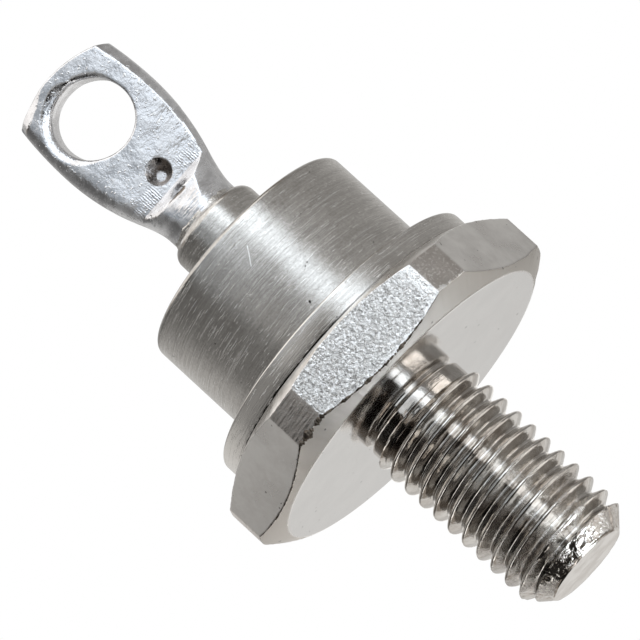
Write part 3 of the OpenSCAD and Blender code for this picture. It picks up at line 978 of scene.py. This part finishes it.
stageSettings = dict(
    cameraAzimuth=9,
    tints=dict(warm=(1.0, 0.985, 0.96), cool=(0.93, 1.0, 1.07), beige=(1.0, 0.965, 0.93), brown=(1.0, 0.9, 0.8)),
    # rings of soft light round the part: (azimuth from the camera's, level, tint)
    rings=dict(
        roomRing=dict(reach=600, low=-500, high=505, span=(-180, 180), stops=(
            (-180, 0.70, "warm"), (-150, 0.62, "warm"), (-128, 0.54, "warm"), (-108, 0.42, "warm"),
            (-92, 0.25, "warm"), (-50, 0.22, "warm"), (-40, 0.28, "warm"), (-32, 0.44, "warm"),
            (-10, 0.36, "warm"), (4, 0.32, "warm"), (11, 0.5, "warm"), (16, 1.25, "cool"),
            (26, 1.65, "cool"), (35, 1.45, "cool"), (42, 0.75, "warm"), (48, 0.4, "warm"),
            (110, 0.37, "warm"), (135, 0.42, "warm"), (155, 0.6, "warm"), (180, 0.70, "warm"))),
        studRing=dict(reach=45, low=-28, high=7, span=(-180, 180), stops=(
            (-180, 0.66, "warm"), (-148, 0.66, "warm"), (-136, 0.25, "warm"), (-122, 0.16, "brown"),
            (-108, 0.1, "brown"), (-95, 0.02, "brown"), (-40, 0.005, "brown"), (-12, 0.01, "brown"),
            (9, 0.05, "beige"), (16, 2.0, "cool"), (26, 2.6, "cool"), (34, 0.95, "cool"),
            (42, 0.28, "beige"), (92, 0.26, "beige"), (136, 0.28, "warm"), (148, 0.58, "warm"),
            (180, 0.66, "warm"))),
        veilRing=dict(reach=100, low=52, high=130, span=(-180, 180), stops=(
            (-180, 0.6, "warm"), (-148, 0.6, "warm"), (-134, 0.45, "warm"), (-118, 0.38, "brown"),
            (-100, 0.26, "brown"), (-84, 0.12, "brown"), (-68, 0.02, "brown"), (-38, 0.01, "brown"),
            (-33, 0.5, "beige"), (-27, 0.5, "beige"), (-22, 0.01, "brown"), (-8, 0.01, "brown"),
            (8, 0.03, "beige"), (14, 2.2, "cool"), (20, 2.6, "cool"), (32, 2.6, "cool"),
            (38, 1.0, "cool"), (44, 0.34, "beige"), (92, 0.3, "beige"), (136, 0.34, "warm"),
            (150, 0.56, "warm"), (180, 0.6, "warm"))),
        lugRing=dict(reach=45, low=24, high=50, span=(-180, 11), stops=(
            (-180, 0.5, "warm"), (-132, 0.3, "warm"), (-110, 0.18, "warm"), (-60, 0.12, "warm"),
            (-48, 0.16, "warm"), (-40, 0.4, "cool"), (-24, 0.44, "cool"), (-16, 0.56, "cool"),
            (-9, 1.25, "cool"), (2, 1.3, "cool"), (11, 1.1, "cool"), (180, 0.5, "warm"))),
    ),
    # name, azimuths from the camera's, then the (radius, height) of its two edges, level, tint
    cards=(
        ("endCard", 135, 225, (44, -28), (44, -15), 0.8, "warm"),
        ("backCard", 150, 210, (44, -3), (44, 7), 1.05, "warm"),
        ("neckCard", 47, 87, (44, -14), (44, -5), 1.9, "beige"),
        ("edgeCardLeft", -125, -30, (44, -42), (44, -28), 1.7, "warm"),
        ("edgeCardRight", 60, 115, (44, -42), (44, -28), 1.4, "warm"),
        ("eyeCard", -24, 14, (44, -27), (44, -13), 1.2, "cool"),
        ("neckPatch", -33, -13, (44, -13), (44, -8), 0.5, "brown"),
        ("flagLeft", -88, -36, (30, -11), (30, 4.8), 0.005, "brown"),
        ("facetCard", -50, 20, (45, 51), (45, 85), 1.2, "beige"),
        ("topBackRight", 90, 180, (446, 402), (21, 600), 0.25, "brown"),
        ("topBackLeft", 180, 300, (446, 402), (21, 600), 1.1, "beige"),
        ("topFront", -60, 90, (446, 402), (21, 600), 1.35, "warm"),
        ("underLeft", -180, 0, (0.1, -45), (70, -45), 0.34, "brown"),
        ("underDark", 193, 246, (3, -44.5), (38, -44.5), 0.01, "brown"),
        ("tipDark", 246, 378, (3, -44.5), (60, -44.5), 0.02, "brown"),
        ("tipEdge", 17, 54, (6, -44.5), (28, -44.5), 0.02, "brown"),
        ("underRight", 0, 180, (0.1, -45), (70, -45), 0.27, "brown"),
        ("underKey", 80, 168, (5.5, -44), (17, -44), 7.0, "cool"),
        ("underBeige", 192, 214, (4, -44), (13, -44), 2.3, "beige"),
        ("underCream", 85, 132, (20, -44), (70, -44), 0.95, "beige"),
        ("tipCream", 54, 79, (8, -44), (30, -44), 0.75, "beige"),
    ),
    floorZ=-520,
    floorReach=3000,
)


def glowFinish(name, colour, level):
    finish = bpy.data.materials.new(name)
    finish.use_nodes = True
    tree = finish.node_tree
    tree.nodes.clear()
    glow = tree.nodes.new("ShaderNodeEmission")
    glow.inputs["Color"].default_value = (*colour, 1)
    glow.inputs["Strength"].default_value = level
    result = tree.nodes.new("ShaderNodeOutputMaterial")
    tree.links.new(glow.outputs["Emission"], result.inputs["Surface"])
    return finish


def floorFinish():
    # pale floor that still takes a shadow, lifted to white where the camera, metal or glass sees it
    finish, tree, shader = startFinish("paleFloor", 0.0)
    shader.inputs["Roughness"].default_value = 0.9
    speck = noiseAt(tree, position(tree), 0.02, 2.0)
    feed(tree, shader.inputs["Base Color"], tint(tree, speck, (0.93, 0.93, 0.93), (0.96, 0.96, 0.96)))
    path = tree.nodes.new("ShaderNodeLightPath")
    seen = calc(tree, "MAXIMUM", path.outputs["Is Camera Ray"], path.outputs["Is Glossy Ray"])
    seen = calc(tree, "MAXIMUM", seen, path.outputs["Is Transmission Ray"])
    glow = tree.nodes.new("ShaderNodeEmission")
    both = tree.nodes.new("ShaderNodeMixShader")
    feed(tree, both.inputs["Fac"], calc(tree, "MULTIPLY", seen, 0.85))
    tree.links.new(shader.outputs["BSDF"], both.inputs[1])
    tree.links.new(glow.outputs["Emission"], both.inputs[2])
    tree.links.new(both.outputs["Shader"], tree.nodes["Material Output"].inputs["Surface"])
    return finish


def ringFinish(name, stops, tints):
    # light whose level changes with the azimuth from the camera's
    finish = bpy.data.materials.new(name)
    finish.use_nodes = True
    tree = finish.node_tree
    tree.nodes.clear()
    turn = tree.nodes.new("ShaderNodeVectorRotate")
    turn.rotation_type = "Z_AXIS"
    turn.inputs["Angle"].default_value = math.radians(90 - stageSettings["cameraAzimuth"])
    feed(tree, turn.inputs["Vector"], position(tree))
    place = tree.nodes.new("ShaderNodeSeparateXYZ")
    feed(tree, place.inputs[0], turn.outputs["Vector"])
    angle = calc(tree, "ARCTAN2", place.outputs["Y"], place.outputs["X"])
    ramp = tree.nodes.new("ShaderNodeValToRGB")
    feed(tree, ramp.inputs["Fac"], calc(tree, "ADD", calc(tree, "DIVIDE", angle, 2 * math.pi), 0.5))
    elements = ramp.color_ramp.elements
    elements.remove(elements[1])
    for i, (azimuth, level, tintName) in enumerate(stops):
        spot = (azimuth + 180) / 360
        stop = elements[0] if i == 0 else elements.new(spot)
        stop.position = spot
        stop.color = (*(channel * level / 2 for channel in tints[tintName]), 1)
    glow = tree.nodes.new("ShaderNodeEmission")
    feed(tree, glow.inputs["Color"], ramp.outputs["Color"])
    glow.inputs["Strength"].default_value = 2    # the stops hold half the level
    result = tree.nodes.new("ShaderNodeOutputMaterial")
    tree.links.new(glow.outputs["Emission"], result.inputs["Surface"])
    return finish


def stagePiece(mesh, name, finish, seen=False):
    bmesh.ops.scale(mesh, vec=(mm, mm, mm), verts=mesh.verts)
    data = bpy.data.meshes.new(name)
    mesh.to_mesh(data)
    mesh.free()
    data.materials.append(finish)
    made = bpy.data.objects.new(name, data)
    made.visible_camera = seen
    bpy.context.scene.collection.objects.link(made)


def sweptCard(points, first, last):
    # a strip of (radius, height) points swept between two azimuths
    mesh = bmesh.new()
    start = math.radians(stageSettings["cameraAzimuth"] + first - 90)
    verts = [mesh.verts.new((r * math.cos(start), r * math.sin(start), z)) for r, z in points]
    edges = [mesh.edges.new(pair) for pair in zip(verts, verts[1:])]
    bmesh.ops.spin(mesh, geom=verts + edges, cent=(0, 0, 0), axis=(0, 0, 1),
                   angle=math.radians(last - first), steps=48, use_merge=last - first == 360)
    return mesh


def makeStage(s):
    for name, ring in s["rings"].items():
        points = [(ring["reach"], ring["low"]), (ring["reach"], ring["high"])]
        stagePiece(sweptCard(points, *ring["span"]), name, ringFinish(name, ring["stops"], s["tints"]))
    for name, first, last, near, far, level, tintName in s["cards"]:
        stagePiece(sweptCard([near, far], first, last), name, glowFinish(name, s["tints"][tintName], level))
    world = bpy.data.worlds.new("whiteRoom")
    bpy.context.scene.world = world
    world.use_nodes = True
    world.node_tree.nodes["Background"].inputs["Color"].default_value = (1, 1, 1, 1)
    world.node_tree.nodes["Background"].inputs["Strength"].default_value = 1
    floor = bmesh.new()
    bmesh.ops.create_grid(floor, x_segments=1, y_segments=1, size=s["floorReach"],
                          matrix=Matrix.Translation((0, 0, s["floorZ"])))
    stagePiece(floor, "paleFloor", floorFinish(), True)


makeStage(stageSettings)
bpy.context.scene.view_settings.view_transform = "Standard"
print("stage made")
